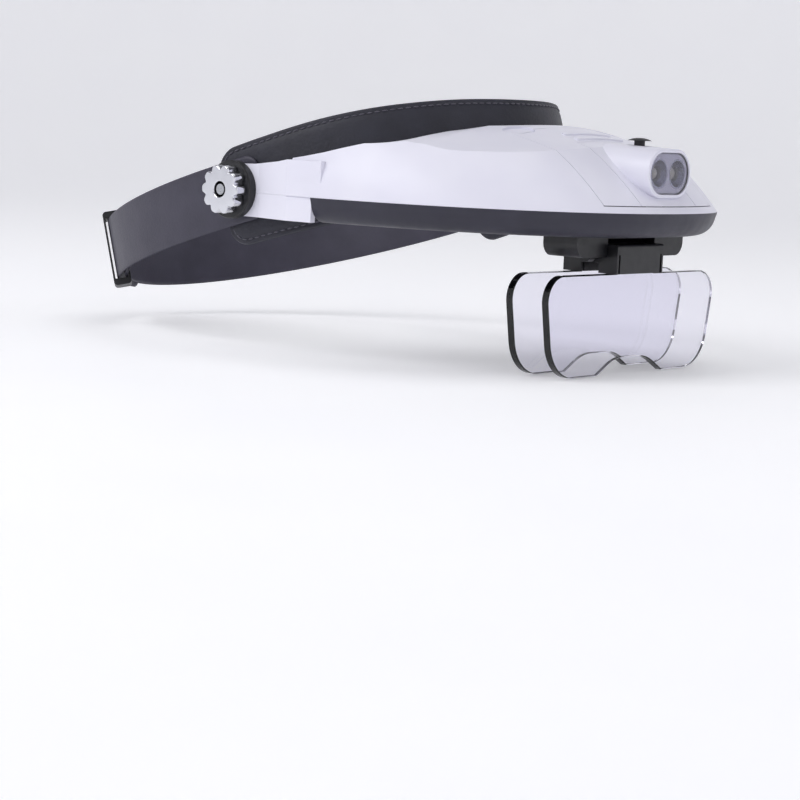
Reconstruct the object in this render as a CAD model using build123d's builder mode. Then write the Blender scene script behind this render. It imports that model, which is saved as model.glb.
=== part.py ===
"""Head visor magnifier: a tilting LED visor on a padded headband.

Frame: origin midway between the two pivot studs, +X to the wearer's left,
-Y to the front, +Z up, with the visor level.  Millimetres.
"""
import os
from math import acos, copysign, cos, hypot, pi, sin

from build123d import *

os.makedirs("parts", exist_ok=True)

# ---- headband -------------------------------------------------------------
band_half_width = 78.6      # outside of the leatherette cover, across the head
band_half_length = 103.4    # outside of the cover, front to back
band_front = 80.8           # front of the band ahead of the pivots
band_centre_back = band_half_length - band_front
band_tilt = 17.0            # the front of the band sits higher than the back
cover_top = 17.0            # cover edges at its ends, measured from the pivot axis
cover_top_line = ((-100, 9.0), (-81, 15.6), (-58, 18.6), (-35, 19.3), (-10, 18.1))
cover_bottom = -20.5
cover_wall = 1.6
cover_end_back = 12.0       # how far the cover runs behind the pivots
cover_end_round = 9.0
core_wall = 1.2
core_margin = 4.0           # the stiff core stops short of the cover's stitched edges
pad_wall = 5.0
pad_margin = 3.0
pad_end_front = 8.0         # the foam stops this far in front of the pivots
layer_gap = 0.05

strap_width = 24.4
strap_wall = 1.2
strap_gap = 0.4             # between the cover and the straps, which run outside it
strap_start_front = 7.0     # how far the straps reach in front of the pivots
strap_spread = 6.0          # between the two straps' inner faces at the middle of the back
buckle_side = 50.0          # the buckle sits this far to the right of the middle
lap_past_buckle = 12.0      # inner strap's end beyond the buckle, across
lap_before_buckle = 30.0    # outer strap's end short of the middle side of the buckle, across
patch_wall = 0.5
patch_shift = 9.0           # the patches sit this much nearer the middle than the buckle
patch_width = 18.0
patch_half_length = 13.0    # across
buckle_length = 9.0
buckle_height = 31.0
buckle_bar = 0.8
buckle_clear = 0.6

# ---- pivots ---------------------------------------------------------------
stud_radius = 2.0
stud_fit = 0.05
stud_head_radius = 5.0
stud_head_wall = 1.2
stud_head_sunk = 6.0        # the head lies flat, this far inside the cover
stud_head_face = band_half_width - stud_head_sunk
boss_radius = 9.0
arm_stand_off = 4.4         # from the cover out to each visor arm's outer face
arm_outside = band_half_width + arm_stand_off
arm_wall = 2.4
arm_flat = 12.0             # the arm is square to the stud this far in front of it
thrust_wall = 0.6
washer_radius = 10.9
washer_wall = 3.2
knob_radius = 9.2
knob_wall = 5.2
knob_scallops = 10
scallop_radius = 2.1
face_gap = 0.05
knob_hole_radius = 2.9

# ---- visor shell ----------------------------------------------------------
shell_wall = 2.0
rim_height = -0.7           # joint between the white shell and the dark lower case
dome_back = 30.0            # the rim is widest this far in front of the pivots
dome_shape = ((0.0, 4.6, 113.0), (13.0, 1.6, 99.0), (25.5, -5.5, 81.0), (34.0, -12.5, 63.0))
dome_sections = [(rise, arm_outside + wider, ahead) for rise, wider, ahead in dome_shape]
dome_power = 2.3
roof_line = ((12, 9.9), (-10, 10.4), (-33, 13.6), (-62, 22.2), (-80, 29.9), (-88, 29.2),
             (-97, 27.2), (-110, 23.8), (-150, 11.5))
roof_crown_drop = 0.0023    # roof drop per square millimetre of distance from the middle
crown_start = 52.0          # the roof begins to be crowned this far in front of the pivots
crown_run = 38.0
inner_half_width = arm_outside  # edge of the shell around the forehead
inner_depth = 88.0
arm_half_height = 9.7
case_height = 9.1           # dark lower case below the rim
case_wall = 2.0
case_round = 7.6
case_lean = 2.6             # the lower case draws in by this much at its bottom
case_start = 42.0           # the dark case starts this far in front of the pivots
seam_gap = 0.3
cover_half_width = 35.0     # lift-off battery door, across
carrier_half_width = 18.0   # lamp carrier, across
lip_height = 2.3            # strip of shell that stays below the door
door_back = 91.5
door_step = 109.0           # the lamp carrier starts here and runs to the front
dent_across = 28.0          # finger dents at the door's back corners
dent_ahead = 90.0
dent_half_width = 7.5
dent_half_length = 5.0
dent_depth = 0.9
grip_ahead = (100.5, 106.3)  # low grip bars across the door
grip_half_width = 14.5
grip_depth = 1.8
grip_rise = 0.6

# ---- lamp -----------------------------------------------------------------
pod_half_width = 14.0
pod_height = 17.9
pod_middle = 13.6
pod_front = 138.6
pod_back = 114.5
pod_rise = 1.2              # the pod's roof is this much higher at its back
pod_wall = 1.8
lamp_spacing = 11.8
reflector_radius = 5.5
reflector_depth = 5.6
reflector_wall = 0.7
led_radius = 2.5
led_length = 4.0
board_wall = 1.4
pod_round = 0.7
window_wall = 1.1
window_sunk = 0.3           # window behind the pod's rim
window_rim = 1.3            # width of the pod's rim round the window
bezel_wall = 1.0
switch_front = 124.5
switch_radius = 4.6
switch_rise = 2.8           # top of the button above the pod
switch_gap = 1.75           # under the button's rim, more than its travel
switch_stem_radius = 2.0
switch_fit = 0.3
switch_travel = 1.2
switch_body_size = 7.0
switch_body_height = 5.0

# ---- power ----------------------------------------------------------------
cell_radius = 5.25
cell_length = 44.5
cell_gap = 0.5
tray_wall = 1.0
tray_height = 11.0
tray_floor = 5.5
tray_front = 114.2
contact_room = 4.0
contact_wall = 0.4
nub_length = 1.0            # small raised end of each cell
spring_turns = 4
spring_wire = 0.35
spring_radius = 2.6

# ---- lens holder ----------------------------------------------------------
bracket_width = 69.0
bracket_depth = 15.0
bracket_height = 7.8
bracket_round = 5.0
hinge_front = 116.0         # hinge barrel in front of the pivots
hinge_below = 15.4
barrel_radius = 4.3
pin_radius = 1.5
pin_fit = 0.05
ear_wall = 4.5
ear_gap = 0.3
clip_width = 30.0
clip_depth = 8.1
clip_top = -12.8
clip_bottom = -23.5
clip_pitch = 15.8           # between the two lens plates
clip_front = 127.9
lens_wall = 3.0
lens_inset = 1.8            # lens plate behind the clip's front face
lens_fit = 0.1
tongue_width = 24.0
tongue_height = 8.0
lens_half_width = 55.5
lens_top = -23.5
lens_bottom = -60.5
lens_lean = 6.5             # how much narrower each side is at the bottom
notch_half_width = 15.5
notch_slope = 5.5           # half the width of each sloping side of the notch
notch_depth = 6.0
notch_round = 21.0
lens_top_round = 9.0
lens_bottom_round = 15.0

screw_radius = 1.3
screw_head_radius = 2.6
screw_head_wall = 1.4
post_radius = 3.2
bracket_screw_across = 25.5
post_places = ((76.0, 50.0), (52.0, 98.0))
seat_height = 3.6           # screw seats inside the lower case

band_plane = Plane.XY.rotated((-band_tilt, 0, 0))
case_bottom = rim_height - case_height
rim_half_width, rim_length = dome_sections[0][1:]


def save(piece, name):
    """Label a finished piece and write it as its own STEP file."""
    piece.part.label = name
    export_step(piece.part, f"parts/{name}.step")


def ring(outer, inner, low, high):
    """Closed elliptical band between two (half width, half length) pairs, in the headband's plane."""
    with BuildPart() as band:
        with BuildSketch(band_plane.offset(low)):
            with Locations((0, band_centre_back)):
                Ellipse(*outer)
                Ellipse(*inner, mode=Mode.SUBTRACT)
        extrude(amount=high - low)
    return band.part


def band_window(front, back, low, high, corner, side=0):
    """Block that keeps the stretch of a ring between two distances along Y, both sides or one."""
    reach = band_half_width + 20
    with BuildPart() as window:
        with BuildSketch(Plane(band_plane.origin, x_dir=band_plane.y_dir, z_dir=(1, 0, 0))):
            with Locations(((front + back) / 2, (low + high) / 2)):
                RectangleRounded(back - front, high - low, corner)
        if side:
            extrude(amount=side * reach)
        else:
            extrude(amount=reach, both=True)
    return window.part


def band_shape(inset):
    """Half width and half length of the headband at a depth below the cover's outside."""
    return band_half_width - inset, band_half_length - inset


def superellipse(half_width, length, power, shrink=0.0):
    """Front edge of the visor at one height, as points from the right side to the left."""
    points = []
    steps = 14
    for step in range(steps + 1):
        angle = -pi / 2 + pi * step / steps
        across = (half_width - shrink) * copysign(abs(sin(angle)) ** (2 / power), sin(angle))
        along = -dome_back - (length - shrink) * abs(cos(angle)) ** (2 / power)
        points.append((across, along))
    return points


def roof_points():
    """Evenly spaced points along the roof's middle line."""
    with BuildLine(mode=Mode.PRIVATE):
        middle = Spline(*roof_line)
    return [(point.X, point.Y) for point in (middle @ (step / 24) for step in range(25))]


def crown(along):
    """How strongly the roof falls to the sides: not at all near the arms, fully at the front."""
    part = min(max((-along - crown_start) / crown_run, 0), 1)
    return roof_crown_drop * part ** 2 * (3 - 2 * part)


def dome(shrink, floor):
    """Solid visor dome down to a floor height, smaller all round by a wall thickness."""
    with BuildPart() as block:
        for height, wide, long in dome_sections:
            with BuildSketch(Plane.XY.offset(rim_height + height)):
                with BuildLine():
                    front = Spline(superellipse(wide, long, dome_power, shrink),
                                   tangents=((0, -1), (0, 1)))
                    Line(front @ 1, front @ 0)
                make_face()
        loft()
        if floor < rim_height:
            with BuildSketch(Plane.XY.offset(floor)):
                with BuildLine():
                    front = Spline(superellipse(rim_half_width, rim_length, dome_power, shrink),
                                   tangents=((0, -1), (0, 1)))
                    Line(front @ 1, front @ 0)
                make_face()
            extrude(amount=rim_height - floor)
        roof = Face.make_surface_from_array_of_points(
            [[Vector(across, along, level - shrink - crown(along) * across ** 2)
              for across in range(-100, 101, 20)] for along, level in roof_points()])
        extrude(roof, amount=100, dir=(0, 0, -1), mode=Mode.INTERSECT)
        # clear of the forehead
        with BuildSketch(Plane.XY.offset(floor)):
            Ellipse(inner_half_width + shrink, inner_depth + shrink)
        extrude(amount=60, mode=Mode.SUBTRACT)
        if shrink:
            add(slab((-120, -dome_back - shrink, -60), (120, 60, 60)), mode=Mode.SUBTRACT)
    return block.part


def slab(low, high):
    """Upright block from two opposite corners."""
    size = [b - a for a, b in zip(low, high)]
    with BuildPart() as block:
        with Locations(tuple((a + b) / 2 for a, b in zip(low, high))):
            Box(*size)
    return block.part


def rod(plane, radius, length):
    """Round bar standing on a plane."""
    with BuildPart() as bar:
        with BuildSketch(plane):
            Circle(radius)
        extrude(amount=length)
    return bar.part


def side_plane(side, distance, y=0.0, z=0.0):
    """Plane square to X on one side of the head, facing outwards."""
    return Plane((side * distance, y, z), x_dir=(0, 1, 0), z_dir=(side, 0, 0))


# ---- headband pieces ------------------------------------------------------
cover_in = cover_wall + layer_gap
core_in = cover_in + core_wall
stud_hole = rod(side_plane(-1, -120), stud_radius + stud_fit, 240)

with BuildPart() as band_cover:
    add(ring(band_shape(0), band_shape(cover_wall), cover_bottom, cover_top + 5))
    with BuildSketch(Plane(band_plane.origin, x_dir=band_plane.y_dir, z_dir=(1, 0, 0))) as side_view:
        with BuildLine():
            top_edge = Spline(*cover_top_line, (cover_end_back, cover_top))
            Polyline(top_edge @ 1, (cover_end_back, cover_bottom), (-100, cover_bottom), top_edge @ 0)
        make_face()
        fillet(side_view.vertices().group_by(Axis.X)[-1], cover_end_round)
    extrude(amount=band_half_width + 20, both=True, mode=Mode.INTERSECT)
    add(stud_hole, mode=Mode.SUBTRACT)
save(band_cover, "band_cover")

core_low = cover_bottom + core_margin
core_high = cover_top - core_margin
with BuildPart() as band_core:
    add(ring(band_shape(cover_in), band_shape(core_in), core_low, core_high))
    add(band_window(-100, cover_end_back - 2, core_low, core_high, 6.0), mode=Mode.INTERSECT)
    add(stud_hole, mode=Mode.SUBTRACT)
save(band_core, "band_core")

pad_low = cover_bottom + pad_margin
pad_high = cover_top - pad_margin
pad_in = core_in + layer_gap
with BuildPart() as forehead_pad:
    add(ring(band_shape(pad_in), band_shape(pad_in + pad_wall), pad_low, pad_high))
    add(band_window(-100, -pad_end_front, pad_low, pad_high, 6.0), mode=Mode.INTERSECT)
save(forehead_pad, "forehead_pad")

strap_low = -strap_width / 2
strap_high = strap_width / 2
strap_in_width = band_half_width + strap_gap
lap_middle = band_half_length - 0.7
strap_backs = {-1: lap_middle + strap_spread / 2, 1: lap_middle - strap_spread / 2}
strap_ends = {-1: lap_before_buckle - buckle_side, 1: -lap_past_buckle - buckle_side}


def rear_strap(side):
    """Flat strap from one pivot round the back of the head, past the buckle."""
    back = strap_backs[side]
    inner = (strap_in_width, back)
    outer = (strap_in_width + strap_wall, back + strap_wall)
    with BuildPart() as strap:
        add(ring(outer, inner, strap_low, strap_high))
        add(band_window(-strap_start_front, 140, strap_low, strap_high, 5.0), mode=Mode.INTERSECT)
        with BuildPart(mode=Mode.PRIVATE) as stretch:
            add(slab((min(0, side * 120), -60, -120), (max(0, side * 120), 200, 60)))
            past = sorted((strap_ends[side], side * 120))
            add(slab((past[0], 60, -120), (past[1], 200, 60)))
        keep_side = stretch.part
        if side < 0:
            # the outer strap stops before the middle of the back
            keep_side = slab((-120, -60, -120), (strap_ends[side], 200, 60))
        add(keep_side, mode=Mode.INTERSECT)
        add(stud_hole, mode=Mode.SUBTRACT)
    return strap


save(rear_strap(-1), "rear_strap_right")
save(rear_strap(1), "rear_strap_left")


def lap_patch(depth):
    """Thin fastening patch a given depth outside the inner of the two lapped straps."""
    inner = (strap_in_width + strap_wall + depth, strap_backs[1] + strap_wall + depth)
    outer = (inner[0] + patch_wall, inner[1] + patch_wall)
    near = -buckle_side + patch_half_length + patch_shift
    with BuildPart() as patch:
        add(ring(outer, inner, -patch_width / 2, patch_width / 2))
        add(slab((near - 2 * patch_half_length, 60, -120), (near, 200, 60)), mode=Mode.INTERSECT)
    return patch


save(lap_patch(layer_gap), "loop_patch")
save(lap_patch(2 * layer_gap + patch_wall), "hook_patch")

# the buckle is square to the straps where it holds them
lap_width = strap_in_width + strap_wall / 2
lap_back = lap_middle + strap_wall / 2
buckle_angle = acos(buckle_side / lap_width)
buckle_back = band_centre_back + lap_back * sin(buckle_angle)
run = hypot(lap_width * sin(buckle_angle), lap_back * cos(buckle_angle))
along_strap = (lap_width * sin(buckle_angle) / run, lap_back * cos(buckle_angle) / run)
lap_thick = strap_spread * sin(buckle_angle) * along_strap[0] + strap_wall
buckle_origin = band_plane.from_local_coords((-buckle_side, buckle_back, 0))
buckle_normal = (band_plane.x_dir * along_strap[0] + band_plane.y_dir * along_strap[1])
buckle_plane = Plane(buckle_origin, x_dir=band_plane.z_dir, z_dir=buckle_normal)
slot_thick = lap_thick + 2 * buckle_clear
with BuildPart() as strap_buckle:
    with BuildSketch(buckle_plane):
        RectangleRounded(buckle_height, slot_thick + 2 * buckle_bar, 1.5)
        RectangleRounded(strap_width + 1.0, slot_thick, 0.4, mode=Mode.SUBTRACT)
    extrude(amount=buckle_length / 2, both=True)
save(strap_buckle, "strap_buckle")

# ---- pivot pieces, one set on each side of the head -------------------------
arm_inside = arm_outside - arm_wall
washer_outside = arm_outside + face_gap + washer_wall
knob_inside = washer_outside + face_gap
knob_outside = knob_inside + knob_wall
for side, hand in ((-1, "right"), (1, "left")):
    with BuildPart() as pivot_stud:
        add(rod(side_plane(side, stud_head_face - stud_head_wall), stud_head_radius, stud_head_wall))
        add(rod(side_plane(side, stud_head_face), stud_radius, knob_outside - 0.6 - stud_head_face))
    save(pivot_stud, f"pivot_stud_{hand}")

    with BuildPart() as pivot_boss:
        add(rod(side_plane(side, 70), boss_radius, arm_inside - face_gap - thrust_wall - face_gap - 70))
        with BuildSketch(band_plane.offset(-60)):
            with Locations((0, band_centre_back)):
                Ellipse(strap_in_width + strap_wall + layer_gap,
                        strap_backs[-1] + strap_wall + layer_gap)
        extrude(amount=120, mode=Mode.SUBTRACT)
        add(stud_hole, mode=Mode.SUBTRACT)
    save(pivot_boss, f"pivot_boss_{hand}")

    with BuildPart() as thrust_washer:
        add(rod(side_plane(side, arm_inside - face_gap - thrust_wall), boss_radius - 1, thrust_wall))
        add(stud_hole, mode=Mode.SUBTRACT)
    save(thrust_washer, f"thrust_washer_{hand}")

    with BuildPart() as friction_washer:
        with BuildSketch(side_plane(side, arm_outside + face_gap)):
            Circle(washer_radius)
            Circle(stud_radius + stud_fit, mode=Mode.SUBTRACT)
        extrude(amount=washer_wall)
        chamfer(friction_washer.faces().sort_by(Axis.X)[0 if side < 0 else -1]
                .edges().sort_by(SortBy.RADIUS)[-1], length=0.4)
    save(friction_washer, f"friction_washer_{hand}")

    with BuildPart() as clamp_knob:
        with BuildSketch(side_plane(side, knob_inside)):
            Circle(knob_radius)
            with PolarLocations(knob_radius + 0.7, knob_scallops):
                Circle(scallop_radius, mode=Mode.SUBTRACT)
        extrude(amount=knob_wall)
        outer_face = clamp_knob.faces().sort_by(Axis.X)[0 if side < 0 else -1]
        chamfer(outer_face.edges(), length=0.5)
        add(rod(side_plane(side, knob_inside), stud_radius + stud_fit, knob_wall), mode=Mode.SUBTRACT)
        add(rod(side_plane(side, knob_outside - 1.6), knob_hole_radius, 2), mode=Mode.SUBTRACT)
    save(clamp_knob, f"clamp_knob_{hand}")

# ---- visor shell, door and lamp carrier --------------------------------------
outer_dome = dome(0.0, rim_height)
inner_dome = dome(shell_wall, case_bottom - 5)
door_zone = slab((-cover_half_width, -160, rim_height + lip_height), (cover_half_width, -door_back, 60))
carrier_zone = slab((-carrier_half_width, -160, rim_height + lip_height),
                    (carrier_half_width, -door_step, 60))
with BuildPart() as skin:
    add(outer_dome)
    add(inner_dome, mode=Mode.SUBTRACT)
    with BuildPart(mode=Mode.PRIVATE) as dents:
        with BuildSketch(Plane.XY.offset(12)):
            with Locations((-dent_across, -dent_ahead), (dent_across, -dent_ahead)):
                Ellipse(dent_half_width, dent_half_length)
        extrude(amount=40)
        add(dome(dent_depth, rim_height), mode=Mode.SUBTRACT)
    add(dents.part, mode=Mode.SUBTRACT)


def lamp_stadium(grow, front, back):
    """Straight stadium-section plug between two distances in front of the pivots."""
    with BuildPart() as tube:
        with BuildSketch(Plane.XZ.offset(back)):
            with Locations((0, pod_middle)):
                SlotOverall(2 * (pod_half_width + grow), pod_height + 2 * grow)
        extrude(amount=front - back)
    return tube.part


def lamp_pod():
    """Outside of the pod, which swells towards the roof behind it."""
    with BuildPart() as pod:
        with BuildSketch(Plane.XZ.offset(pod_front)):
            with Locations((0, pod_middle)):
                SlotOverall(2 * pod_half_width, pod_height)
        with BuildSketch(Plane.XZ.offset(pod_back)):
            with Locations((0, pod_middle + pod_rise / 2)):
                SlotOverall(2 * pod_half_width, pod_height + pod_rise)
        loft(ruled=True)
        fillet(pod.faces().sort_by(Axis.Y)[0].edges(), pod_round)
    return pod.part


def arm(side):
    """Arm plate from the hollow brim back to its pivot, splayed between the two."""
    root = case_start + 4
    wide = rim_half_width - 0.4
    with BuildPart() as plate:
        with BuildSketch(Plane.XY.offset(case_bottom)):
            with BuildLine():
                Polyline((side * arm_inside, 12), (side * arm_outside, 12), (side * arm_outside, -arm_flat),
                         (side * wide, -dome_back), (side * (wide - 0.7), -root),
                         (side * (wide - 0.7 - arm_wall), -root), (side * (wide - arm_wall), -dome_back),
                         (side * arm_inside, -arm_flat), close=True)
            make_face()
        extrude(amount=40)
        with BuildSketch(Plane.YZ.offset(side * 60)):
            with BuildLine():
                tail = CenterArc((0, 0), arm_half_height, -90, 180)
                Polyline(tail @ 1, (-10, 10.0), (-24, 11.5), (-dome_back, 12.5), (-root, 12.5),
                         (-root, rim_height), (-case_start, rim_height), (-case_start, case_bottom),
                         tail @ 0)
            make_face()
        extrude(amount=side * 40, mode=Mode.INTERSECT)
    return plate.part


with BuildPart() as visor_shell:
    add(skin.part)
    add(door_zone, mode=Mode.SUBTRACT)
    for side in (-1, 1):
        add(arm(side))
        for across, ahead in post_places:
            with BuildPart(mode=Mode.PRIVATE) as post:
                add(rod(Plane((side * across, -ahead, case_bottom + seat_height + 0.1)), post_radius, 60))
                add(inner_dome, mode=Mode.INTERSECT)
            add(post.part)
            add(rod(Plane((side * across, -ahead, case_bottom)), screw_radius + 0.05, 10.5),
                mode=Mode.SUBTRACT)
    add(stud_hole, mode=Mode.SUBTRACT)
save(visor_shell, "visor_shell")

door_cut = slab((-cover_half_width + seam_gap, -160, rim_height + lip_height + seam_gap),
                (cover_half_width - seam_gap, -door_back - seam_gap, 60))
with BuildPart() as battery_door:
    add(skin.part)
    add(door_cut, mode=Mode.INTERSECT)
    add(carrier_zone, mode=Mode.SUBTRACT)
    for ahead in grip_ahead:
        with BuildPart(mode=Mode.PRIVATE) as grip:
            add(dome(-grip_rise, rim_height))
            add(slab((-grip_half_width, -ahead - grip_depth / 2, 10),
                     (grip_half_width, grip_depth / 2 - ahead, 60)), mode=Mode.INTERSECT)
            add(dome(shell_wall / 2, rim_height - 1), mode=Mode.SUBTRACT)
        add(grip.part)
save(battery_door, "battery_door")

carrier_cut = slab((-carrier_half_width + seam_gap, -160, rim_height + lip_height + seam_gap),
                   (carrier_half_width - seam_gap, -door_step - seam_gap, 60))
window_back = pod_front - window_sunk - window_wall
with BuildPart() as lamp_housing:
    add(skin.part)
    add(carrier_cut, mode=Mode.INTERSECT)
    add(lamp_pod())
    add(lamp_stadium(0.1, pod_front + 3, pod_front), mode=Mode.SUBTRACT)
    add(lamp_stadium(-window_rim, pod_front + 1, window_back), mode=Mode.SUBTRACT)
    add(lamp_stadium(-pod_wall, pod_front + 1, pod_back - 10), mode=Mode.SUBTRACT)
    add(rod(Plane((0, -switch_front, pod_middle)), switch_stem_radius + switch_fit, 20),
        mode=Mode.SUBTRACT)
save(lamp_housing, "lamp_housing")

# ---- dark lower case -----------------------------------------------------------


def case_block(shrink, low, high, round_edge):
    """Solid lower case under the shell, smaller all round by a wall thickness."""
    with BuildPart() as block:
        for level in (low, high):
            lean = shrink + case_lean * (rim_height - level) / case_height
            with BuildSketch(Plane.XY.offset(level)):
                with BuildLine():
                    front = Spline(superellipse(rim_half_width, rim_length, dome_power, lean),
                                   tangents=((0, -1), (0, 1)))
                    Polyline(front @ 1, (rim_half_width - lean, -dome_back + 1),
                             (lean - rim_half_width, -dome_back + 1), front @ 0)
                make_face()
        loft()
        fillet(block.faces().sort_by(Axis.Z)[0].edges().filter_by(GeomType.BSPLINE), round_edge)
        add(slab((-120, -case_start - shrink, low - 1), (120, 0, high + 1)), mode=Mode.SUBTRACT)
        with BuildSketch(Plane.XY.offset(low - 1)):
            Ellipse(inner_half_width + shrink, inner_depth + shrink)
        extrude(amount=high - low + 2, mode=Mode.SUBTRACT)
    return block.part


with BuildPart() as lower_case:
    add(case_block(0, case_bottom, rim_height, case_round))
    add(case_block(case_wall, case_bottom + case_wall, rim_height + 1, case_round - case_wall),
        mode=Mode.SUBTRACT)
    with BuildPart(mode=Mode.PRIVATE) as seats:
        for side in (-1, 1):
            for across, ahead in post_places:
                add(rod(Plane((side * across, -ahead, case_bottom)), post_radius + 1.2, seat_height))
        add(case_block(0, case_bottom, rim_height, case_round), mode=Mode.INTERSECT)
    add(seats.part)
    for side in (-1, 1):
        for across, ahead in (*post_places, (bracket_screw_across, hinge_front)):
            add(rod(Plane((side * across, -ahead, case_bottom - 1)), screw_radius + 0.1, 6),
                mode=Mode.SUBTRACT)
        for across, ahead in post_places:
            # screw heads are sunk below the surface
            add(rod(Plane((side * across, -ahead, case_bottom - 1)), screw_head_radius + 0.2,
                    1.2 + screw_head_wall), mode=Mode.SUBTRACT)
save(lower_case, "lower_case")

# ---- lamp pieces -----------------------------------------------------------------
with BuildPart() as lamp_window:
    add(lamp_stadium(-window_rim - 0.05, pod_front - window_sunk, window_back))
    fillet(lamp_window.faces().sort_by(Axis.Y)[0].edges(), 0.4)
save(lamp_window, "lamp_window")

with BuildPart() as lamp_bezel:
    add(lamp_stadium(-pod_wall - 0.05, window_back - 0.05, window_back - 0.05 - bezel_wall))
    for side in (-1, 1):
        place = Plane((side * lamp_spacing / 2, -pod_front, pod_middle), z_dir=(0, 1, 0))
        add(rod(place, reflector_radius + 0.04, 10), mode=Mode.SUBTRACT)
save(lamp_bezel, "lamp_bezel")

reflector_front = window_back - 0.05
reflector_back = reflector_front - reflector_depth
board_front = reflector_back - 0.1
for side, hand in ((-1, "right"), (1, "left")):
    middle = side * lamp_spacing / 2
    with BuildPart() as reflector:
        # deep dish, bored through at the back for the lamp
        with BuildSketch(Plane.YZ) as dish:
            with BuildLine():
                mouth = (-reflector_front, reflector_radius)
                throat = (-reflector_back, led_radius + 0.9)
                lip = (-reflector_front, reflector_radius - reflector_wall)
                neck = (-reflector_back, led_radius + 0.15)
                outside = ThreePointArc(mouth, (-reflector_front + 3.4, 4.6), throat)
                Line(throat, neck)
                inside = ThreePointArc(neck, (-reflector_front + 3.0, 3.85), lip)
                Line(lip, mouth)
            make_face()
        revolve(axis=Axis((0, 0, 0), (0, 1, 0)))
    reflector.part = reflector.part.moved(Location((middle, 0, pod_middle)))
    save(reflector, f"reflector_{hand}")

    with BuildPart() as led:
        with BuildSketch(Plane((middle, -board_front - 0.02, pod_middle), x_dir=(1, 0, 0), z_dir=(0, -1, 0))):
            Circle(led_radius)
        extrude(amount=led_length)
        fillet(led.edges().sort_by(Axis.Y)[0], led_radius - 0.3)
    save(led, f"led_{hand}")

with BuildPart() as lamp_board:
    with BuildSketch(Plane((0, -board_front, pod_middle), x_dir=(1, 0, 0), z_dir=(0, 1, 0))):
        SlotOverall(2 * (pod_half_width - pod_wall - 0.4), pod_height - 2 * (pod_wall + 0.4))
    extrude(amount=board_wall)
save(lamp_board, "lamp_board")

switch_seat = pod_middle + pod_height / 2 + pod_rise * (pod_front - switch_front) / (pod_front - pod_back)
pod_ceiling = pod_middle + pod_height / 2 - pod_wall
button_top = switch_seat + switch_rise
button_low = switch_seat + switch_gap
with BuildPart() as switch_button:
    with BuildSketch(Plane.XZ):
        with BuildLine():
            top = ThreePointArc((0, button_top), (switch_radius * 0.6, button_top - 0.3),
                                (switch_radius, button_low))
            Polyline(top @ 1, (switch_stem_radius, button_low), (switch_stem_radius, pod_ceiling - 0.6),
                     (0, pod_ceiling - 0.6), top @ 0)
        make_face()
    revolve(axis=Axis.Z)
switch_button.part = switch_button.part.moved(Location((0, -switch_front, 0)))
save(switch_button, "switch_button")

switch_top = pod_ceiling - 0.6 - switch_travel - 0.2
with BuildPart() as switch_body:
    with Locations((0, -switch_front, switch_top - switch_body_height / 2)):
        Box(switch_body_size, switch_body_size - 1.6, switch_body_height)
save(switch_body, "switch_body")

# ---- battery tray, cells and contacts ----------------------------------------------
tray_depth = 2 * (2 * cell_radius + cell_gap) + 2 * tray_wall
tray_length = cell_length + 2 * contact_room + 2 * tray_wall
tray_middle = -tray_front + tray_depth / 2
cell_level = tray_floor + tray_wall + cell_radius + 0.1
cell_lines = [tray_middle - cell_radius - cell_gap / 2, tray_middle + cell_radius + cell_gap / 2]
with BuildPart() as battery_tray:
    with Locations((0, tray_middle, tray_floor + tray_height / 2)):
        Box(tray_length, tray_depth, tray_height)
    fillet(battery_tray.edges().filter_by(Axis.Z), 1.5)
    with Locations((0, tray_middle, tray_floor + tray_wall + tray_height / 2)):
        Box(tray_length - 2 * tray_wall, tray_depth - 2 * tray_wall, tray_height, mode=Mode.SUBTRACT)
    for side in (-1, 1):
        # legs that stand on the floor of the lower case
        leg_top = tray_floor
        with Locations((side * (tray_length / 2 - 4), tray_middle, (leg_top + case_bottom + case_wall) / 2)):
            Box(5, 8, leg_top - case_bottom - case_wall)
save(battery_tray, "battery_tray")

contact_face = tray_length / 2 - tray_wall
spring_pitch = (contact_room - contact_wall - 2 * spring_wire - 0.1) / spring_turns
for number, (line, facing) in enumerate(zip(cell_lines, (1, -1)), 1):
    with BuildPart() as cell:
        with BuildSketch(Plane((-facing * cell_length / 2 + facing * 0.1, line, cell_level),
                               x_dir=(0, 1, 0), z_dir=(facing, 0, 0))):
            Circle(cell_radius)
        extrude(amount=cell_length - nub_length)
        with BuildSketch(Plane((facing * (cell_length / 2 - nub_length), line, cell_level),
                               x_dir=(0, 1, 0), z_dir=(facing, 0, 0))):
            Circle(1.9)
        extrude(amount=nub_length)
        fillet(cell.edges().filter_by(GeomType.CIRCLE).sort_by(SortBy.RADIUS)[-2:], 0.5)
    save(cell, f"battery_cell_{number}")

with BuildPart() as contact_plates:
    for side in (-1, 1):
        for line in cell_lines:
            with Locations((side * (contact_face - contact_wall / 2 - 0.02), line, cell_level)):
                Box(contact_wall, 8, 8)
save(contact_plates, "contact_plates")

with BuildPart() as contact_springs:
    for line, facing in zip(cell_lines, (1, -1)):
        start = Plane((-facing * (contact_face - contact_wall - spring_wire - 0.04), line, cell_level),
                      x_dir=(0, 1, 0), z_dir=(facing, 0, 0))
        coil = Helix(spring_pitch, spring_pitch * spring_turns, spring_radius, center=start.origin,
                     direction=start.z_dir, mode=Mode.PRIVATE)
        with BuildSketch(Plane(coil @ 0, z_dir=coil % 0)):
            Circle(spring_wire)
        sweep(path=coil, is_frenet=True)
save(contact_springs, "contact_springs")

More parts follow.
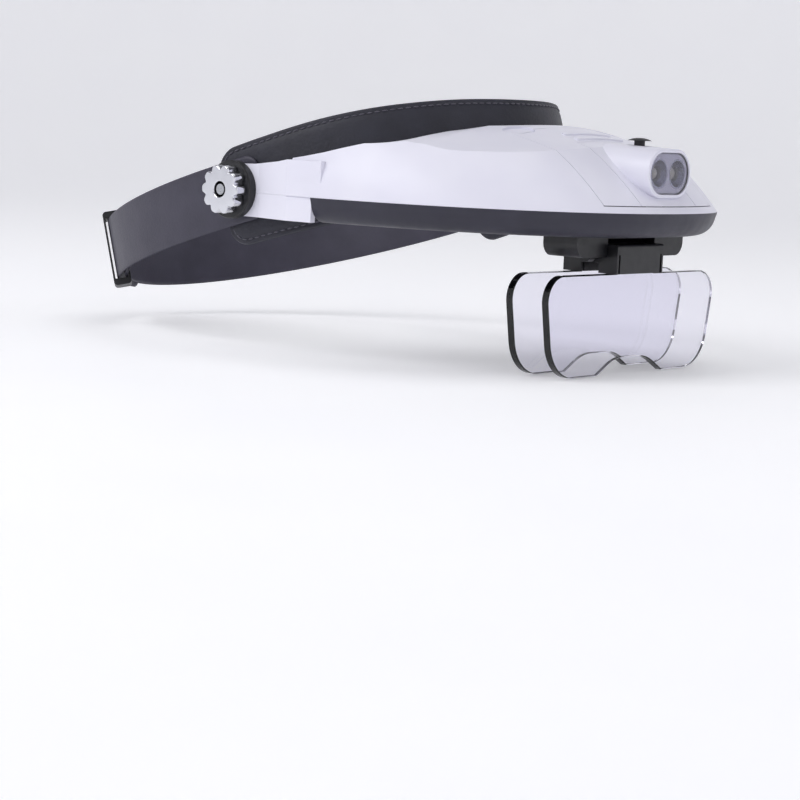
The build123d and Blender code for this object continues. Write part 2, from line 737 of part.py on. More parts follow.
# ---- lens bracket and holder ----------------------------------------------------------
hinge = (-hinge_front, -hinge_below)
bracket_top = case_bottom
with BuildPart() as lens_bracket:
    with BuildSketch(Plane.XZ.offset(hinge_front - bracket_depth / 2)):
        with BuildLine():
            half = bracket_width / 2
            low = bracket_top - bracket_height
            FilletPolyline((-half, bracket_top), (-half, low), (half, low), (half, bracket_top),
                           radius=bracket_round)
            Line((half, bracket_top), (-half, bracket_top))
        make_face()
    extrude(amount=bracket_depth)
    # window for the swinging holder between two ears
    with Locations((0, -hinge_front, bracket_top - bracket_height / 2 - 1)):
        Box(clip_width + 2 * ear_gap, bracket_depth + 2, bracket_height, mode=Mode.SUBTRACT)
    for side in (-1, 1):
        inner = clip_width / 2 + ear_gap
        with BuildSketch(Plane.YZ.offset(side * inner)):
            with Locations(hinge):
                Circle(barrel_radius)
            with Locations((hinge[0], (hinge[1] + bracket_top - 0.5) / 2)):
                Rectangle(2 * barrel_radius, bracket_top - 0.5 - hinge[1])
        extrude(amount=side * ear_wall)
        add(rod(side_plane(side, inner - 1, *hinge), pin_radius + 0.01, ear_wall + 2), mode=Mode.SUBTRACT)
        add(rod(Plane((side * bracket_screw_across, hinge[0], bracket_top - 10)), screw_radius + 0.1, 11),
            mode=Mode.SUBTRACT)
        add(rod(Plane((side * bracket_screw_across, hinge[0], low - 1)), screw_head_radius + 0.2,
                screw_head_wall + 1.2), mode=Mode.SUBTRACT)
save(lens_bracket, "lens_bracket")

pin_half = clip_width / 2 + ear_gap + ear_wall
with BuildPart() as hinge_pin:
    add(rod(Plane((-pin_half, *hinge), x_dir=(0, 1, 0), z_dir=(1, 0, 0)), pin_radius, 2 * pin_half))
save(hinge_pin, "hinge_pin")

clip_backs = {"front": -clip_front, "rear": -clip_front + clip_pitch}
with BuildPart() as lens_holder:
    with BuildSketch(Plane.YZ) as section:
        with Locations(hinge):
            Circle(barrel_radius)
        for face in clip_backs.values():
            with BuildLine():
                back = face + clip_depth
                FilletPolyline((face, clip_bottom), (face, clip_top), (back, clip_top),
                               (back, clip_bottom), radius=1.0)
                Line((back, clip_bottom), (face, clip_bottom))
            make_face()
        with Locations(((hinge[0] + clip_backs["rear"] + 1) / 2, hinge[1] - 2.2),
                       ((hinge[0] + clip_backs["front"] + clip_depth - 1) / 2, hinge[1] - 2.2)):
            Rectangle(7, 4.4)
    extrude(amount=clip_width / 2, both=True)
    add(rod(Plane((-60, *hinge), x_dir=(0, 1, 0), z_dir=(1, 0, 0)), pin_radius + pin_fit, 120),
        mode=Mode.SUBTRACT)
    for face in clip_backs.values():
        # slot for the lens tongue, and the small notches at the lower corners
        with Locations((0, face + lens_inset + lens_wall / 2, clip_bottom + tongue_height / 2)):
            Box(tongue_width + 2 * lens_fit, lens_wall + 2 * lens_fit, tongue_height + 1,
                mode=Mode.SUBTRACT)
        with Locations(*[(side * (clip_width / 2 - 1.5), face, clip_bottom + 3.5) for side in (-1, 1)]):
            Box(1.0, 1.2, 7, mode=Mode.SUBTRACT)
save(lens_holder, "lens_holder")


for where, face in clip_backs.items():
    with BuildPart() as lens:
        with BuildSketch(Plane.XZ.offset(-(face + lens_inset + lens_wall))) as outline:
            with BuildLine():
                bridge = lens_bottom + notch_depth
                Polyline((0, bridge), (notch_half_width - notch_slope, bridge),
                         (notch_half_width + notch_slope, lens_bottom),
                         (lens_half_width - lens_lean, lens_bottom), (lens_half_width, lens_top),
                         (0, lens_top), close=True)
            make_face()
            mirror(about=Plane.YZ)
            tops = outline.vertices().group_by(Axis.Y)[-1].sort_by(Axis.X)
            fillet([tops[0], tops[-1]], lens_top_round)
            lows = outline.vertices().group_by(Axis.Y)[0].sort_by(Axis.X)
            fillet([lows[0], lows[-1]], lens_bottom_round)
            fillet(lows[1:3], notch_round)
            arches = outline.vertices().filter_by(lambda v: abs(v.Y - bridge) < 0.01 and abs(v.X) > 1)
            fillet(arches, notch_round)
            with Locations((0, lens_top + (tongue_height - 0.3) / 2)):
                Rectangle(tongue_width, tongue_height - 0.3)
        extrude(amount=lens_wall)
        chamfer(lens.faces().filter_by(Axis.Y).edges(), length=0.35)
    save(lens, f"{where}_lens")

# ---- screws ------------------------------------------------------------------------------


def screw(place, length):
    """Pan-head screw driven upwards from below."""
    with BuildPart() as one:
        add(rod(Plane(place), screw_radius, length))
        add(rod(Plane((place[0], place[1], place[2] - screw_head_wall)), screw_head_radius,
                screw_head_wall))
        with Locations((place[0], place[1], place[2] - screw_head_wall)):
            Box(3.2, 0.6, 1.2, mode=Mode.SUBTRACT)
            Box(0.6, 3.2, 1.2, mode=Mode.SUBTRACT)
    return one.part


with BuildPart() as case_screws:
    for side in (-1, 1):
        for across, ahead in post_places:
            add(screw((side * across, -ahead, case_bottom + screw_head_wall + 0.2), 8))
save(case_screws, "case_screws")

with BuildPart() as bracket_screws:
    for side in (-1, 1):
        seat = case_bottom - bracket_height + screw_head_wall + 0.2
        add(screw((side * bracket_screw_across, -hinge_front, seat), 8))
save(bracket_screws, "bracket_screws")
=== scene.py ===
from math import acos, asin, cos, exp, pi, radians, sin, sqrt

import bmesh
import bpy
from mathutils import Matrix, Vector


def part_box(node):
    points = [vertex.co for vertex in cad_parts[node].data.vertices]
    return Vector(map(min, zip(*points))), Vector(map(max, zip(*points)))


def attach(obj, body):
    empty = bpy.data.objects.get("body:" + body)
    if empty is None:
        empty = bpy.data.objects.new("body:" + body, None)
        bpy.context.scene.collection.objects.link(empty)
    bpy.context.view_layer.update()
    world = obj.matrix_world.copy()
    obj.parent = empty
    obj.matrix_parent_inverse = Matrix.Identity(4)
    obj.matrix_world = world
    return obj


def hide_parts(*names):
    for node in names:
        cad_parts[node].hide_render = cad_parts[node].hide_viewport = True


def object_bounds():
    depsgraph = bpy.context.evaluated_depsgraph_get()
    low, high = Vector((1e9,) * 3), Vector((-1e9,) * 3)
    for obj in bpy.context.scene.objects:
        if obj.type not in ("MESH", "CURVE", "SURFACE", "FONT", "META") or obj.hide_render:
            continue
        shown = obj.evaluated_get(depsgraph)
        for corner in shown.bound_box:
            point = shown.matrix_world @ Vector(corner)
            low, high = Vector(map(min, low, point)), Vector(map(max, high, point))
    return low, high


# Head visor magnifier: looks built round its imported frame. Metres, +X wearer's left, -Y front, +Z up.
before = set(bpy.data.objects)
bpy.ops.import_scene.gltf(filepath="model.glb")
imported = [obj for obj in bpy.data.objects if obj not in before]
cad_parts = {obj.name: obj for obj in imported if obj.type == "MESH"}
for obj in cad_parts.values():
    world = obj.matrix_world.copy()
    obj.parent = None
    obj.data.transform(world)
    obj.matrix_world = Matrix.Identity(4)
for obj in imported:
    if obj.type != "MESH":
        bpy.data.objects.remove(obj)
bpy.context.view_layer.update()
scene = bpy.context.scene
mm = 0.001
print("frame loaded:", len(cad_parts), "nodes")

cameraSizes = {"place": (-0.691645, -0.589476, 0.029867),
               "right": (0.64191459, -0.76543629, 0.04530943),
               "up": (0.06707552, 0.11491915, 0.9911077),
               "lens": 101.1, "sensor": 36.0}


def makeCamera(sizes):
    camera = bpy.data.cameras.new("mainCamera")
    camera.lens, camera.sensor_width = sizes["lens"], sizes["sensor"]
    camera.clip_start, camera.clip_end = 0.01, 50
    shown = bpy.data.objects.new("mainCamera", camera)
    scene.collection.objects.link(shown)
    right, up = Vector(sizes["right"]), Vector(sizes["up"])
    back = right.cross(up)
    turn = Matrix((right, up, back)).transposed().to_4x4()
    shown.matrix_world = Matrix.Translation(sizes["place"]) @ turn
    scene.camera = shown


makeCamera(cameraSizes)
print("camera placed")


def colourFrom(text):  # sRGB hex to linear RGBA
    parts = [int(text[at:at + 2], 16) / 255 for at in (1, 3, 5)]
    return [c / 12.92 if c <= 0.04045 else ((c + 0.055) / 1.055) ** 2.4 for c in parts] + [1.0]


def addNode(tree, kind, inputs=None, **settings):
    node = tree.nodes.new(kind)
    for key, value in settings.items():
        setattr(node, key, value)
    for key, value in (inputs or {}).items():
        if isinstance(value, bpy.types.NodeSocket):
            tree.links.new(value, node.inputs[key])
        else:
            node.inputs[key].default_value = value
    return node


def startMaterial(name, colour, roughness, **more):
    material = bpy.data.materials.new(name)
    material.use_nodes = True
    tree = material.node_tree
    tree.nodes.clear()
    shader = addNode(tree, "ShaderNodeBsdfPrincipled",
                     {"Base Color": colourFrom(colour), "Roughness": roughness})
    for key, value in more.items():
        shader.inputs[key.replace("_", " ")].default_value = value
    addNode(tree, "ShaderNodeOutputMaterial", {"Surface": shader.outputs[0]})
    material.diffuse_color = colourFrom(colour)
    place = addNode(tree, "ShaderNodeTexCoord").outputs["Object"]
    return material, tree, shader, place


def noiseAt(tree, place, sizeMm, detail=2.0, roughness=0.5):  # blobs about sizeMm across
    return addNode(tree, "ShaderNodeTexNoise", {"Vector": place, "Scale": 1 / (sizeMm * mm), "Detail": detail,
                                                "Roughness": roughness}).outputs["Fac"]


def rangeOf(tree, value, low, high, fromLow=0.3, fromHigh=0.7):
    return addNode(tree, "ShaderNodeMapRange", {"Value": value, "From Min": fromLow, "From Max": fromHigh,
                                                "To Min": low, "To Max": high}).outputs["Result"]


def mixColours(tree, value, first, second):
    mix = addNode(tree, "ShaderNodeMix", data_type="RGBA")
    tree.links.new(value, mix.inputs[0])
    mix.inputs[6].default_value = colourFrom(first)
    mix.inputs[7].default_value = colourFrom(second)
    return mix.outputs[2]


def bumpBy(tree, shader, height, depthMm, before=None):
    inputs = {"Height": height, "Strength": 1.0, "Distance": depthMm * mm}
    if before:
        inputs["Normal"] = before
    bump = addNode(tree, "ShaderNodeBump", inputs)
    tree.links.new(bump.outputs[0], shader.inputs["Normal"])
    return bump.outputs[0]


def whiteAbs():
    # injection-moulded ABS with a satin polish: soft wide highlight, a trace of orange peel
    material, tree, shader, place = startMaterial("satin white ABS", "#E4E3EF", 0.34, IOR=1.52)
    tone = rangeOf(tree, noiseAt(tree, place, 25), 0, 1)
    tree.links.new(mixColours(tree, tone, "#E2E1EE", "#E8E7F2"), shader.inputs["Base Color"])
    tree.links.new(rangeOf(tree, noiseAt(tree, place, 9, 3), 0.30, 0.40), shader.inputs["Roughness"])
    peel = bumpBy(tree, shader, noiseAt(tree, place, 1.6, 2), 0.004)
    # mould parting line round the arms, level with the shell's lower edge
    parts = addNode(tree, "ShaderNodeSeparateXYZ", {"Vector": place})
    off = addNode(tree, "ShaderNodeMath", {0: parts.outputs["Z"], 1: 0.7 * mm}, operation="ADD").outputs[0]
    far = addNode(tree, "ShaderNodeMath", {0: off}, operation="ABSOLUTE").outputs[0]
    groove = rangeOf(tree, far, 0, 1, 0.05 * mm, 0.3 * mm)
    bumpBy(tree, shader, groove, 0.12, peel)
    return material


def charcoalAbs():
    # ABS from a spark-textured mould: dark, low sheen, fine even grit of about 0.3 mm
    material, tree, shader, place = startMaterial("textured charcoal ABS", "#232232", 0.46, IOR=1.52)
    tone = rangeOf(tree, noiseAt(tree, place, 18), 0, 1)
    tree.links.new(mixColours(tree, tone, "#222130", "#272636"), shader.inputs["Base Color"])
    tree.links.new(rangeOf(tree, noiseAt(tree, place, 5, 3), 0.42, 0.52), shader.inputs["Roughness"])
    bumpBy(tree, shader, noiseAt(tree, place, 0.35, 3, 0.6), 0.012)
    return material


def blackNylon():
    # moulded nylon: near black, slightly waxy, faint flow marks
    material, tree, shader, place = startMaterial("moulded black nylon", "#0B0B11", 0.42, IOR=1.53)
    tree.links.new(rangeOf(tree, noiseAt(tree, place, 4, 3), 0.34, 0.47), shader.inputs["Roughness"])
    bumpBy(tree, shader, noiseAt(tree, place, 0.5, 3, 0.6), 0.008)
    return material


def grainedLeather(name, dark, light, grainMm, depthMm, roughness):
    # polyurethane leatherette: embossed pebble grain with finer creases between the pebbles
    material, tree, shader, place = startMaterial(name, dark, roughness, IOR=1.48)
    cells = addNode(tree, "ShaderNodeTexVoronoi",
                    {"Vector": place, "Scale": 1 / (grainMm * mm), "Randomness": 1.0},
                    feature="SMOOTH_F1").outputs["Distance"]
    fine = noiseAt(tree, place, grainMm * 0.4, 4, 0.6)
    broad = noiseAt(tree, place, 14, 3)
    tree.links.new(mixColours(tree, rangeOf(tree, broad, 0, 1), dark, light), shader.inputs["Base Color"])
    tree.links.new(rangeOf(tree, fine, roughness - 0.07, roughness + 0.08), shader.inputs["Roughness"])
    first = bumpBy(tree, shader, cells, -depthMm)
    second = bumpBy(tree, shader, fine, depthMm * 0.5, first)
    bumpBy(tree, shader, broad, 0.25, second)  # slow waves of the soft backing
    return material


def threadNylon():
    # bonded sewing thread: a little lighter than the leatherette, twisted
    material, tree, shader, place = startMaterial("bonded nylon thread", "#4B4956", 0.55, Sheen_Weight=0.3)
    bumpBy(tree, shader, noiseAt(tree, place, 0.25, 2), 0.05)
    return material


def polishedChrome():
    # bright nickel-chrome plate on zinc: mirror-like, thin handling scratches
    material, tree, shader, place = startMaterial("polished chrome plate", "#DCDDE2", 0.12, Metallic=1.0)
    tree.links.new(rangeOf(tree, noiseAt(tree, place, 2.5, 4, 0.7), 0.07, 0.2), shader.inputs["Roughness"])
    bumpBy(tree, shader, noiseAt(tree, place, 3.0, 2), 0.006)
    return material


def zincSteel():
    # zinc-plated steel: dull bright metal with turning marks
    material, tree, shader, place = startMaterial("zinc plated steel", "#B4B6BA", 0.3, Metallic=1.0)
    tree.links.new(rangeOf(tree, noiseAt(tree, place, 0.8, 4, 0.7), 0.22, 0.4), shader.inputs["Roughness"])
    bumpBy(tree, shader, noiseAt(tree, place, 0.3, 2), 0.004)
    return material


def clearAcrylic(name, colour, roughness):
    # polished cast acrylic: clear with bright, dark-streaked edges
    material, tree, shader, place = startMaterial(name, colour, roughness, IOR=1.49, Transmission_Weight=1.0)
    haze = rangeOf(tree, noiseAt(tree, place, 7, 3), roughness, roughness + 0.02)
    tree.links.new(haze, shader.inputs["Roughness"])
    bumpBy(tree, shader, noiseAt(tree, place, 30, 1), 0.01)
    return material


def aluminisedCup():
    # vacuum-metallised plastic: bright with soft ripples
    material, tree, shader, place = startMaterial("aluminised reflector", "#A6A7B3", 0.14, Metallic=1.0)
    tree.links.new(rangeOf(tree, noiseAt(tree, place, 1.2, 2), 0.1, 0.22), shader.inputs["Roughness"])
    bumpBy(tree, shader, noiseAt(tree, place, 1.5, 1), 0.03)
    return material


def lampEpoxy():
    # clear epoxy dome over a pale yellow phosphor
    material, tree, shader, place = startMaterial("lamp epoxy", "#E6E1CF", 0.08, IOR=1.53,
                                                  Transmission_Weight=0.35)
    tree.links.new(mixColours(tree, rangeOf(tree, noiseAt(tree, place, 1.5), 0, 1), "#D9D3B8", "#F1EFE6"),
                   shader.inputs["Base Color"])
    return material


def plainPiece(name, dark, light, roughness, sizeMm, depthMm, **more):
    material, tree, shader, place = startMaterial(name, dark, roughness, **more)
    tree.links.new(mixColours(tree, rangeOf(tree, noiseAt(tree, place, sizeMm, 3), 0, 1), dark, light),
                   shader.inputs["Base Color"])
    bumpBy(tree, shader, noiseAt(tree, place, sizeMm * 0.5, 3), depthMm)
    return material


finishes = {
    "white": whiteAbs(), "charcoal": charcoalAbs(), "nylon": blackNylon(),
    "strap": grainedLeather("strap leatherette", "#343240", "#3D3B49", 0.9, 0.05, 0.47),
    "pad": grainedLeather("pad leatherette", "#1F1F2A", "#282834", 1.1, 0.08, 0.50),
    "thread": threadNylon(), "chrome": polishedChrome(), "steel": zincSteel(),
    "lens": clearAcrylic("clear acrylic lens", "#F0EFF7", 0.0),
    "window": clearAcrylic("clear acrylic window", "#ECEBF4", 0.02),
    "cup": aluminisedCup(), "epoxy": lampEpoxy(),
    # solder-masked glass-epoxy board
    "board": plainPiece("green solder mask", "#1E5B34", "#2A6E42", 0.35, 3, 0.01),
    # printed shrink sleeve on the cells
    "sleeve": plainPiece("cell sleeve", "#2B3C66", "#34477A", 0.3, 6, 0.01),
    "nickel": plainPiece("nickel plated spring steel", "#BDB9AC", "#CFCBC0", 0.25, 2, 0.004, Metallic=1.0),
    # hook-and-loop fabric: dense short pile
    "pile": plainPiece("hook and loop pile", "#17171B", "#2A2A30", 0.9, 0.6, 0.25, Sheen_Weight=0.4),
}
nodeFinish = {"visor_shell": "white", "battery_door": "white", "lamp_housing": "white", "lower_case": "charcoal",
              "lamp_window": "window", "lamp_bezel": "white", "front_lens": "lens", "rear_lens": "lens",
              "lamp_board": "board",
              "contact_plates": "nickel", "contact_springs": "nickel", "hinge_pin": "steel",
              "case_screws": "steel",
              "bracket_screws": "steel", "band_core": "nylon"}
for name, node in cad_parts.items():
    kind = nodeFinish.get(name)
    if not kind:
        starts = {"clamp_knob": "chrome", "pivot_stud": "steel", "reflector": "cup", "led": "epoxy",
                  "battery_cell": "sleeve", "hook": "pile", "loop": "pile", "rear_strap": "strap"}
        kind = next((finish for start, finish in starts.items() if name.startswith(start)), "nylon")
    node.data.materials.clear()
    node.data.materials.append(finishes[kind])
print("materials made and set on CAD nodes")


def newPiece(name, vertices, faces, material, smooth=True):
    mesh = bpy.data.meshes.new(name)
    mesh.from_pydata([tuple(v) for v in vertices], [], faces)
    work = bmesh.new()
    work.from_mesh(mesh)
    bmesh.ops.recalc_face_normals(work, faces=work.faces)
    work.to_mesh(mesh)
    work.free()
    mesh.materials.append(material)
    for face in mesh.polygons:
        face.use_smooth = smooth
    piece = bpy.data.objects.new(name, mesh)
    scene.collection.objects.link(piece)
    return piece


bandSizes = {"halfWidth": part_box("band_cover")[1].x, "halfLength": 103.4 * mm, "middleBack": 22.6 * mm,
             "tilt": 17.0}


def bandPoint(angle, halfWidth, halfLength, height):  # on an ellipse in the headband's tilted plane
    along = bandSizes["middleBack"] + halfLength * sin(angle)
    tilt = radians(bandSizes["tilt"])
    return Vector((halfWidth * cos(angle), along * cos(tilt) + height * sin(tilt),
                   height * cos(tilt) - along * sin(tilt)))


def insetPoint(angle, inset, height):  # on the headband, inset and height in mm
    return bandPoint(angle, bandSizes["halfWidth"] - inset * mm, bandSizes["halfLength"] - inset * mm,
                     height * mm)


def onLine(points, at):  # smooth height along a row of (distance, height) points
    last = len(points) - 1
    slopes = []
    for n in range(last + 1):
        (a, low), (b, high) = points[max(0, n - 1)], points[min(last, n + 1)]
        slopes.append((high - low) / (b - a))
    n = max([0] + [k for k in range(last) if points[k][0] <= at])
    (a, first), (b, second) = points[n], points[n + 1]
    run, part = b - a, min(1, max(0, (at - a) / (b - a)))
    rest = 1 - part
    return (first * rest * rest * (1 + 2 * part) + second * part * part * (3 - 2 * part)
            + run * part * rest * (slopes[n] * rest - slopes[n + 1] * part))


def sweptLoops(angles, section):  # closed tube of loops, one per angle, ends filled
    vertices, faces = [], []
    for angle in angles:
        loop = section(angle)
        vertices += loop
    count = len(loop)
    for row in range(len(angles) - 1):
        for at in range(count):
            here, there = row * count + at, row * count + (at + 1) % count
            faces.append((here, there, there + count, here + count))
    for start in (0, (len(angles) - 1) * count):
        for at in range(count // 2 - 1):
            faces.append((start + at, start + at + 1, start + count - 2 - at, start + count - 1 - at))
    return vertices, faces


padSizes = {"top": ((-100, 9.0), (-81, 15.6), (-58, 18.6), (-35, 19.2), (-10, 18.1), (12, 17.0)),
            "bottom": -20.5, "end": 12.0, "endRound": 9.0, "endEase": 1.2, "edge": 2.3, "lip": 1.1,
            "sunk": 0.35, "sunkRun": 3.5, "thick": 7.9, "padEnd": -8.0, "fadeRun": 14, "swellRun": 11.0,
            "swellPower": 2.2, "channelDepth": 0.9, "channelPlace": 0.17, "channelWidth": 1.2,
            "seamIn": 2.0, "seamWidth": 0.7, "seamDepth": 0.45, "seamPull": 0.4, "steps": 300,
            "acrossSteps": 30}


def padOutline(angle, inside=0.0):  # bottom and top edge heights, in mm, with rounded ends
    s = padSizes
    along = (bandSizes["middleBack"] + bandSizes["halfLength"] * sin(angle)) / mm
    top, bottom = onLine(s["top"], along) - inside, s["bottom"] + inside
    toEnd, corner = s["end"] - inside - along, s["endRound"] - inside
    if toEnd < corner:
        cut = corner - sqrt(max(0, corner ** 2 - (corner - max(toEnd, 0)) ** 2))
        top, bottom = top - cut, bottom + cut
    return bottom, top, toEnd, along


def padSection(angle):
    s = padSizes
    bottom, top, toEnd, along = padOutline(angle)
    count = s["acrossSteps"]
    fade = min(1, max(0, (s["padEnd"] + s["fadeRun"] / 2 - along) / s["fadeRun"]))
    fade = fade * fade * (3 - 2 * fade)
    close = sqrt(max(0.02, 1 - max(0, 1 - toEnd / s["endEase"]) ** 2))
    outer, inner = [], []
    for at in range(count + 1):
        part = 0.5 - 0.5 * cos(pi * at / count)
        height = bottom + (top - bottom) * part
        edge = min(height - bottom, top - height)
        lip = 1 - sqrt(max(0, 1 - max(0, 1 - edge / s["lip"]) ** 2))  # rounded edge
        seam = exp(-((min(edge, toEnd) - s["seamIn"]) / s["seamWidth"]) ** 2)
        middle = s["edge"] / 2 + s["sunk"]
        out = s["sunk"] * exp(-(edge / s["sunkRun"]) ** 2) + s["seamDepth"] * seam
        out = out + (middle - out) * lip
        swell = (1 - max(0, 1 - edge / s["swellRun"]) ** s["swellPower"]) * fade
        fromChannel = (abs(part - 0.5) - s["channelPlace"]) * (top - bottom)
        channel = s["channelDepth"] * fade * exp(-(fromChannel / s["channelWidth"]) ** 2)
        swell *= s["thick"] - s["edge"] - s["seamPull"]
        deep = s["edge"] + s["sunk"] + swell - channel - s["seamPull"] * seam
        deep = deep + (middle - deep) * lip
        out, deep = middle + (out - middle) * close, middle + (deep - middle) * close
        outer.append((height, out))
        inner.append((height, deep))
    return [insetPoint(angle, inset, height) for height, inset in outer + inner[::-1]]


def endAngle(along):  # where the ellipse reaches a distance along, on the left
    return asin((along * mm - bandSizes["middleBack"]) / bandSizes["halfLength"])


def spread(first, last, steps, crowd=6):  # angles, closer together near both ends
    result = [at / steps for at in range(steps + 1)]
    near = [0.0004 * crowd * n for n in range(1, crowd)]
    result = sorted(set(result + near + [1 - n for n in near]))
    return [first + (last - first) * part for part in result]


padEndAngle = endAngle(padSizes["end"] - 0.02)
padAngles = spread(-pi - padEndAngle, padEndAngle, padSizes["steps"])
headbandPad = newPiece("headbandPad", *sweptLoops(padAngles, padSection), finishes["pad"])
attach(headbandPad, "headband")
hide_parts("band_cover", "band_core", "forehead_pad")
print("forehead pad made")

strapSizes = {"width": 24.4, "wall": 1.2, "halfWidth": bandSizes["halfWidth"] / mm + 0.4, "startFront": -7.0,
              "endRound": 5.0, "lapRound": 4.0, "steps": 200, "acrossSteps": 14,
              "right": {"back": 105.7, "endAcross": -20.0}, "left": {"back": 99.7, "endAcross": -62.0}}


def makeStrap(name, hand, depth=0.0, wall=None, width=None, stretch=None, material="strap"):
    s = strapSizes
    wall, width = wall or s["wall"], width or s["width"]
    halfWidth, back = s["halfWidth"] + depth, s[hand]["back"] + depth

    start = asin((s["startFront"] - bandSizes["middleBack"] / mm) / back)
    finish = acos(s[hand]["endAcross"] / halfWidth)
    if hand == "right":
        start = pi - start
    if stretch:
        start, finish = (acos(across / halfWidth) for across in stretch)
    step = sqrt((halfWidth * sin(finish)) ** 2 + (back * cos(finish)) ** 2)
    firstStep = sqrt((halfWidth * sin(start)) ** 2 + (back * cos(start)) ** 2)

    def section(angle):
        low, high = -width / 2, width / 2
        squeeze = 1.0
        for limit, pace, corner in ((start, firstStep, s["endRound"]), (finish, step, s["lapRound"])):
            gap = abs(angle - limit) * pace
            if gap < corner and not stretch:
                cut = corner - sqrt(max(0, corner ** 2 - (corner - gap) ** 2))
                low, high = low + cut, high - cut
            squeeze = min(squeeze, sqrt(max(0.02, 1 - max(0, 1 - gap / (wall / 2)) ** 2)))
        outer, inner = [], []
        for at in range(s["acrossSteps"] + 1):
            part = 0.5 - 0.5 * cos(pi * at / s["acrossSteps"])
            height = low + (high - low) * part
            edge = min(height - low, high - height)
            lip = 1 - sqrt(max(0, 1 - max(0, 1 - edge / (wall / 2)) ** 2))
            middle = wall / 2
            half = middle * (1 - lip) * squeeze
            outer.append((height, middle + half))
            inner.append((height, middle - half))
        return [bandPoint(angle, (halfWidth + out) * mm, (back + out) * mm, height * mm)
                for height, out in outer + inner[::-1]]

    piece = newPiece(name, *sweptLoops(spread(start, finish, s["steps"]), section), finishes[material])
    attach(piece, "headband")
    return piece


for hand in ("right", "left"):
    strap = makeStrap(hand + "Strap", hand)
    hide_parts("rear_strap_" + hand)
for name, node, depth in (("loopPatch", "loop_patch", 1.25), ("hookPatch", "hook_patch", 1.8)):
    patch = makeStrap(name, "left", depth, 0.5, 18.0, (-54.0, -28.0), "pile")
    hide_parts(node)
print("straps and patches made")

knobSizes = {"radius": 9.2, "hole": 2.9, "lobes": 10, "notch": 1.5, "bevel": 0.7, "around": 300}


def makeKnob(name, node, sizes):  # chrome disc with rounded lobes, turned about X
    low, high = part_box(node)
    outward = 1 if high.x > 0 else -1
    outside, wall = max(abs(low.x), abs(high.x)), high.x - low.x
    rim, hole, bevel = sizes["radius"] * mm, sizes["hole"] * mm, sizes["bevel"] * mm
    profile = [(wall, hole), (wall, rim - 2 * bevel), (wall, rim - bevel * 1.1)]
    corner = [(cos(pi * n / 12), sin(pi * n / 12)) for n in range(7)]
    profile += [(wall - bevel + bevel * inward, rim - bevel + bevel * out) for inward, out in corner]
    profile += [(wall - bevel * 1.2, rim), (wall / 2, rim), (bevel * 1.2, rim)]
    profile += [(bevel - bevel * out, rim - bevel + bevel * inward) for inward, out in corner]
    profile += [(0, rim - bevel * 1.1), (0, rim - 2 * bevel), (0, hole + 0.5 * mm), (0, hole + 0.35 * mm),
                (0.35 * mm, hole), (0.5 * mm, hole)]
    around, vertices, faces = sizes["around"], [], []
    for at in range(around):
        turn = 2 * pi * at / around
        notch = sizes["notch"] * mm * (0.5 - 0.5 * cos(sizes["lobes"] * turn)) ** 2
        for inward, radius in profile:
            out = radius - notch * max(0, min(1, (radius - rim + 3 * mm) / (2 * mm)))
            vertices.append((outward * (outside - inward), out * cos(turn), out * sin(turn)))
    count = len(profile)
    for at in range(around):
        for n in range(count):
            here, there = at * count, (at + 1) % around * count
            faces.append((here + n, here + (n + 1) % count, there + (n + 1) % count, there + n))
    return newPiece(name, vertices, faces, finishes["chrome"])


for hand in ("right", "left"):
    knob = makeKnob(hand + "Knob", "clamp_knob_" + hand, knobSizes)
    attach(knob, "knob_" + hand)
    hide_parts("clamp_knob_" + hand)
print("knobs turned")


stitchSizes = {"pitch": 2.9, "length": 2.1, "width": 0.55, "lift": 0.12}


def stitchTree(material):
    tree = bpy.data.node_groups.new("stitchRow", "GeometryNodeTree")
    face = tree.interface
    face.new_socket("Geometry", in_out="INPUT", socket_type="NodeSocketGeometry")
    for name in ("pitch", "length", "width"):
        face.new_socket(name, in_out="INPUT", socket_type="NodeSocketFloat")
    face.new_socket("Geometry", in_out="OUTPUT", socket_type="NodeSocketGeometry")
    given = addNode(tree, "NodeGroupInput")
    curve = addNode(tree, "GeometryNodeMeshToCurve", {"Mesh": given.outputs["Geometry"]})
    points = addNode(tree, "GeometryNodeCurveToPoints",
                     {"Curve": curve.outputs[0], "Length": given.outputs["pitch"]}, mode="LENGTH")
    bead = addNode(tree, "GeometryNodeMeshIcoSphere", {"Radius": 0.5, "Subdivisions": 2})
    size = addNode(tree, "ShaderNodeCombineXYZ", {"X": given.outputs["width"], "Y": given.outputs["width"],
                                                  "Z": given.outputs["length"]})
    row = addNode(tree, "GeometryNodeInstanceOnPoints",
                  {"Points": points.outputs["Points"], "Instance": bead.outputs["Mesh"],
                   "Rotation": points.outputs["Rotation"], "Scale": size.outputs[0]})
    real = addNode(tree, "GeometryNodeRealizeInstances", {"Geometry": row.outputs[0]})
    dressed = addNode(tree, "GeometryNodeSetMaterial", {"Geometry": real.outputs[0], "Material": material})
    addNode(tree, "NodeGroupOutput", {"Geometry": dressed.outputs[0]})
    return tree


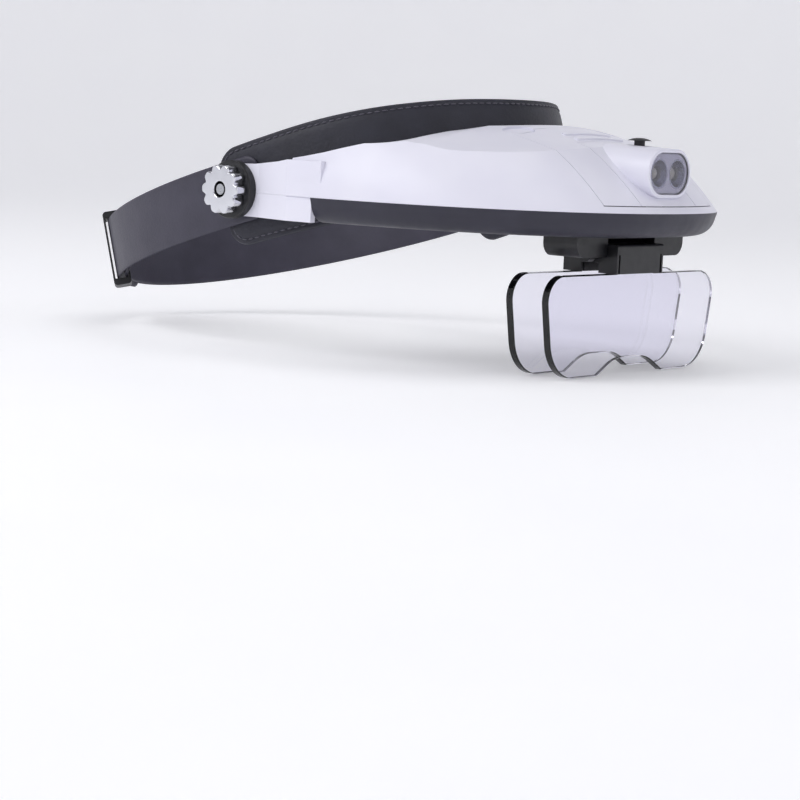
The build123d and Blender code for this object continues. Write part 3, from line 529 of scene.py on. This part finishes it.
def makeStitches(name, rows, tree):
    mesh = bpy.data.meshes.new(name + "Path")
    vertices, edges = [], []
    for row, closed in rows:
        first = len(vertices)
        vertices += [tuple(p) for p in row]
        edges += [(first + n, first + n + 1) for n in range(len(row) - 1)]
        if closed:
            edges.append((first + len(row) - 1, first))
    mesh.from_pydata(vertices, edges, [])
    path = bpy.data.objects.new(name + "Path", mesh)
    scene.collection.objects.link(path)
    modifier = path.modifiers.new("stitches", "NODES")
    modifier.node_group = tree
    for item in tree.interface.items_tree:
        if item.in_out == "INPUT" and item.name in stitchSizes:
            modifier[item.identifier] = stitchSizes[item.name] * mm
    shown = path.evaluated_get(bpy.context.evaluated_depsgraph_get())
    baked = bpy.data.meshes.new_from_object(shown)
    bpy.data.objects.remove(path)
    piece = bpy.data.objects.new(name, baked)
    scene.collection.objects.link(piece)
    for polygon in baked.polygons:
        polygon.use_smooth = True
    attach(piece, "headband")
    return piece


def padSeam(inset, lift):  # closed line a little inside the pad's outline
    s, ends = padSizes, endAngle(padSizes["end"] - inset - 0.05)
    tops, bottoms = [], []
    for at in range(241):
        angle = -pi - ends + (2 * ends + pi) * at / 240
        bottom, top, _, _ = padOutline(angle, inset)
        tops.append(insetPoint(angle, lift, top))
        bottoms.append(insetPoint(angle, lift, bottom))
    return tops + bottoms[::-1], True


threadTree = stitchTree(finishes["thread"])
outside = makeStitches("padStitches", [padSeam(padSizes["seamIn"], 0.45 - stitchSizes["lift"])], threadTree)
print("stitches sewn")

studioSizes = {"floor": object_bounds()[0].z - 0.0004, "flat": 1.7, "bend": 0.6, "wall": 1.6, "around": 96}


def makeStudio(sizes):
    # one pale sweep: flat floor that curves up into a wall all round
    rings = [(sizes["flat"] * n / 6, 0.0) for n in range(1, 7)]
    bends = [pi / 2 * n / 10 for n in range(1, 11)]
    rings += [(sizes["flat"] + sizes["bend"] * sin(turn), sizes["bend"] * (1 - cos(turn))) for turn in bends]
    rings.append((sizes["flat"] + sizes["bend"], sizes["wall"]))
    vertices = [(0, 0, sizes["floor"])]
    faces, around = [], sizes["around"]
    for radius, height in rings:
        turns = [2 * pi * n / around for n in range(around)]
        vertices += [(radius * cos(turn), radius * sin(turn), sizes["floor"] + height) for turn in turns]
    faces += [(0, 1 + n, 1 + (n + 1) % around) for n in range(around)]
    for ring in range(len(rings) - 1):
        for n in range(around):
            here, there = 1 + ring * around + n, 1 + ring * around + (n + 1) % around
            faces.append((here, here + around, there + around, there))
    # matt paper that glows a little, so that it reads as white behind the object
    paper = plainPiece("pale paper", "#F6F6FA", "#F8F8FB", 0.7, 60, 0.0, Emission_Color=colourFrom("#FFFFFF"),
                       Emission_Strength=0.2)
    floor = newPiece("studioFloor", vertices, faces, paper)


def makeLight(name, place, towards, size, power):
    light = bpy.data.lights.new(name, "AREA")
    light.shape, light.size, light.size_y, light.energy = "RECTANGLE", size[0], size[1], power
    shown = bpy.data.objects.new(name, light)
    scene.collection.objects.link(shown)
    shown.location = place
    shown.rotation_euler = (Vector(towards) - Vector(place)).to_track_quat("-Z", "Y").to_euler()


makeStudio(studioSizes)
makeLight("keyLight", (-1.1, 0.35, 1.0), (0, 0, 0), (0.9, 0.9), 8.6)
makeLight("topLight", (0.1, -0.2, 1.35), (0, 0, 0), (1.2, 1.2), 5.2)
makeLight("fillLight", (-0.2, -1.3, 0.45), (0, -0.05, 0), (0.7, 0.7), 0.7)
world = bpy.data.worlds.new("softRoom")
world.use_nodes = True
world.node_tree.nodes["Background"].inputs["Color"].default_value = colourFrom("#F2F3FA")
world.node_tree.nodes["Background"].inputs["Strength"].default_value = 0.24
scene.world = world
scene.view_settings.view_transform = "Standard"
print("studio lit")
